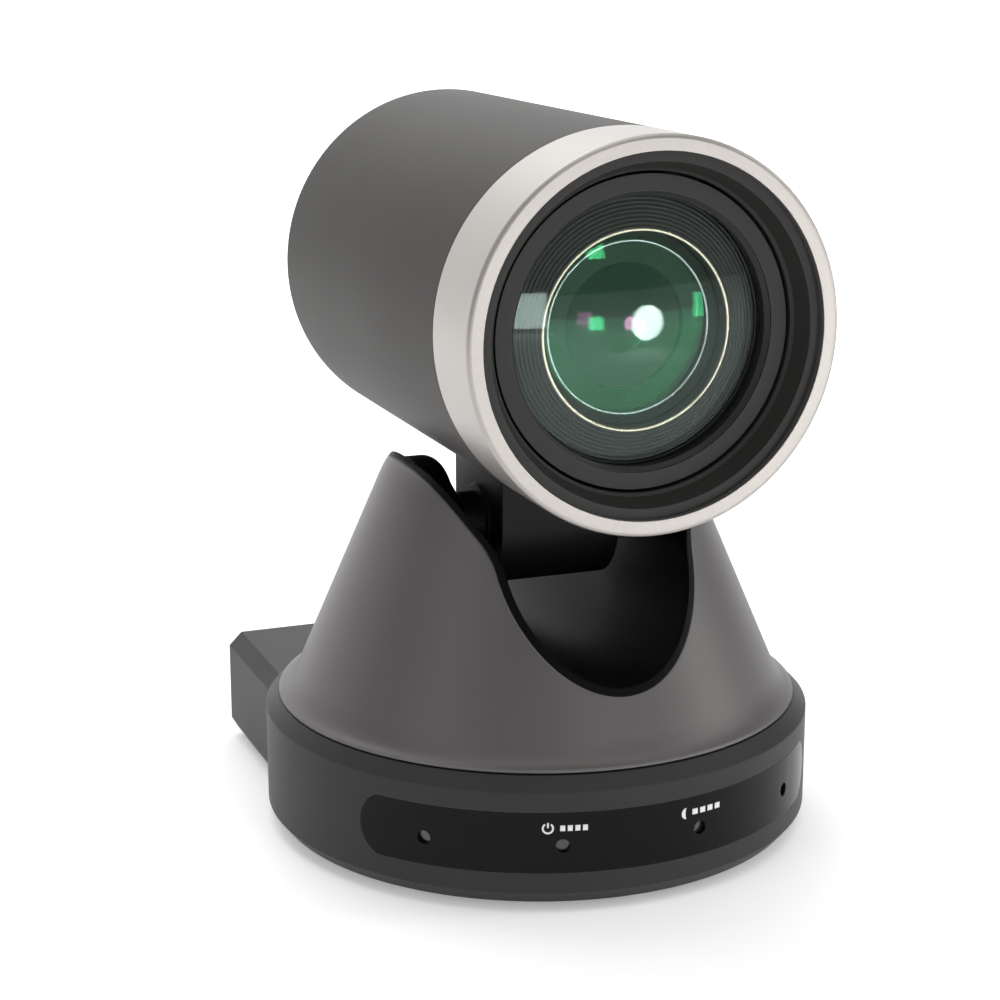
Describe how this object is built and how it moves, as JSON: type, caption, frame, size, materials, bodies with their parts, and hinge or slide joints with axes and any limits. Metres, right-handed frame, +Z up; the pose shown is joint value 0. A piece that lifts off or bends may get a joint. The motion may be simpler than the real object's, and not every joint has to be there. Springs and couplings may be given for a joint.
{
  "type": "ptz camera",
  "caption": "Motorised pan-tilt-zoom conference camera: a round base with a rear connector box, a conical fork that turns on it, and a round head that tilts between its arms.",
  "frame": {"origin": "mouth of the tripod thread, at the middle of the underside of the base plate", "axes": "+Z up along the pan axis, the lens looks along -Y, +X along the tilt axis to the right seen from the front"},
  "size_m": [0.118, 0.1334, 0.1526],
  "materials": {
    "shell_paint": "satin dark grey",
    "cone_paint": "satin metallic grey",
    "head_paint": "satin metallic grey",
    "silver_ring": "satin",
    "bezel_black": "satin",
    "liner_black": "satin",
    "neck_paint": "satin",
    "plate_black": "satin",
    "foot_rubber": "matt",
    "window_gloss": "gloss",
    "light_pipe": "dark smoked",
    "receiver": "dark smoked",
    "flex_strip": "satin",
    "circuit_green": "satin",
    "bright_screw": "bright",
    "brass": "machined",
    "socket_black": "satin",
    "socket_steel": "bright",
    "acetal": "satin",
    "die_cast": "cast",
    "sheet_steel": "brushed",
    "motor_steel": "dark",
    "shaft_steel": "ground",
    "barrel_black": "matt",
    "coated_glass": "coated"
  },
  "bodies": {
    "base": {"base_shell": "shell_paint", "bottom_plate": "plate_black", "rubber_feet": "foot_rubber", "tripod_bush": "brass", "mount_inserts": "brass", "base_screws": "bright_screw", "ir_window": "window_gloss", "indicator_lights": "light_pipe", "ir_receivers": "receiver", "indicator_strip": "flex_strip", "main_board": "circuit_green", "small_screws": "bright_screw", "rear_panel": "plate_black", "dc_socket": "socket_black", "lan_socket": "socket_steel", "hdmi_socket": "socket_steel", "audio_socket": "socket_black", "sdi_socket": "socket_steel", "serial_socket": "socket_black", "switch_frame": "socket_black", "pan_gear": "acetal", "pan_bush": "acetal"},
    "switch": {"power_switch": "socket_black"},
    "yoke": {"turntable": "die_cast", "pan_retainer": "sheet_steel", "yoke_cover": "cone_paint", "yoke_liner": "liner_black", "pivot_hubs": "liner_black", "left_bracket": "sheet_steel", "right_bracket": "sheet_steel", "tilt_bushes": "brass", "pan_motor": "motor_steel", "tilt_motor": "motor_steel", "yoke_screws": "bright_screw", "yoke_board": "circuit_green"},
    "pan_drive": {"pan_pinion": "brass"},
    "tilt_drive": {"tilt_pinion": "brass"},
    "head": {"neck": "neck_paint", "tilt_shaft": "shaft_steel", "tilt_gear": "acetal", "shaft_clips": "sheet_steel", "head_tube": "head_paint", "front_ring": "silver_ring", "front_bezel": "bezel_black", "rear_cap": "head_paint", "cap_screws": "bright_screw", "neck_screws": "bright_screw", "camera_frame": "die_cast", "lens_barrel": "barrel_black", "lens_retainer": "barrel_black", "front_lens": "coated_glass", "second_lens": "coated_glass", "iris_unit": "barrel_black", "lens_motors": "motor_steel", "sensor_board": "circuit_green", "encoder_board": "circuit_green"},
    "zoom_group": {"zoom_carrier": "barrel_black", "zoom_lens": "coated_glass"},
    "focus_group": {"focus_carrier": "barrel_black", "focus_lens": "coated_glass"}
  },
  "joints": [
    {"name": "pan", "type": "hinge", "parent": "base", "child": "yoke", "pos_m": [0, 0, 0.0265], "axis": [0, 0, 1], "range_deg": [-170, 170]},
    {"name": "tilt", "type": "hinge", "parent": "yoke", "child": "head", "pos_m": [0, 0, 0.065], "axis": [-1, 0, 0], "range_deg": [-30, 30]},
    {"name": "pan_pinion_spin", "type": "hinge", "parent": "yoke", "child": "pan_drive", "pos_m": [-0.03, 0, 0.028], "axis": [0, 0, 1], "range_deg": [-680, 680]},
    {"name": "tilt_pinion_spin", "type": "hinge", "parent": "yoke", "child": "tilt_drive", "pos_m": [0.0285, 0, 0.0442], "axis": [-1, 0, 0], "range_deg": [-100, 100]},
    {"name": "zoom", "type": "slide", "parent": "head", "child": "zoom_group", "axis": [0, 1, 0], "range_m": [0, 0.014]},
    {"name": "focus", "type": "slide", "parent": "head", "child": "focus_group", "axis": [0, 1, 0], "range_m": [-0.003, 0.006]},
    {"name": "switch_rocker", "type": "hinge", "parent": "base", "child": "switch", "pos_m": [-0.0277, 0.0606, 0.012], "axis": [-1, 0, 0], "range_deg": [0, 16]}
  ],
  "couplings": [
    {"joint": "pan_pinion_spin", "follows": "pan", "ratio": 4},
    {"joint": "tilt_pinion_spin", "follows": "tilt", "ratio": -3.3333}
  ]
}
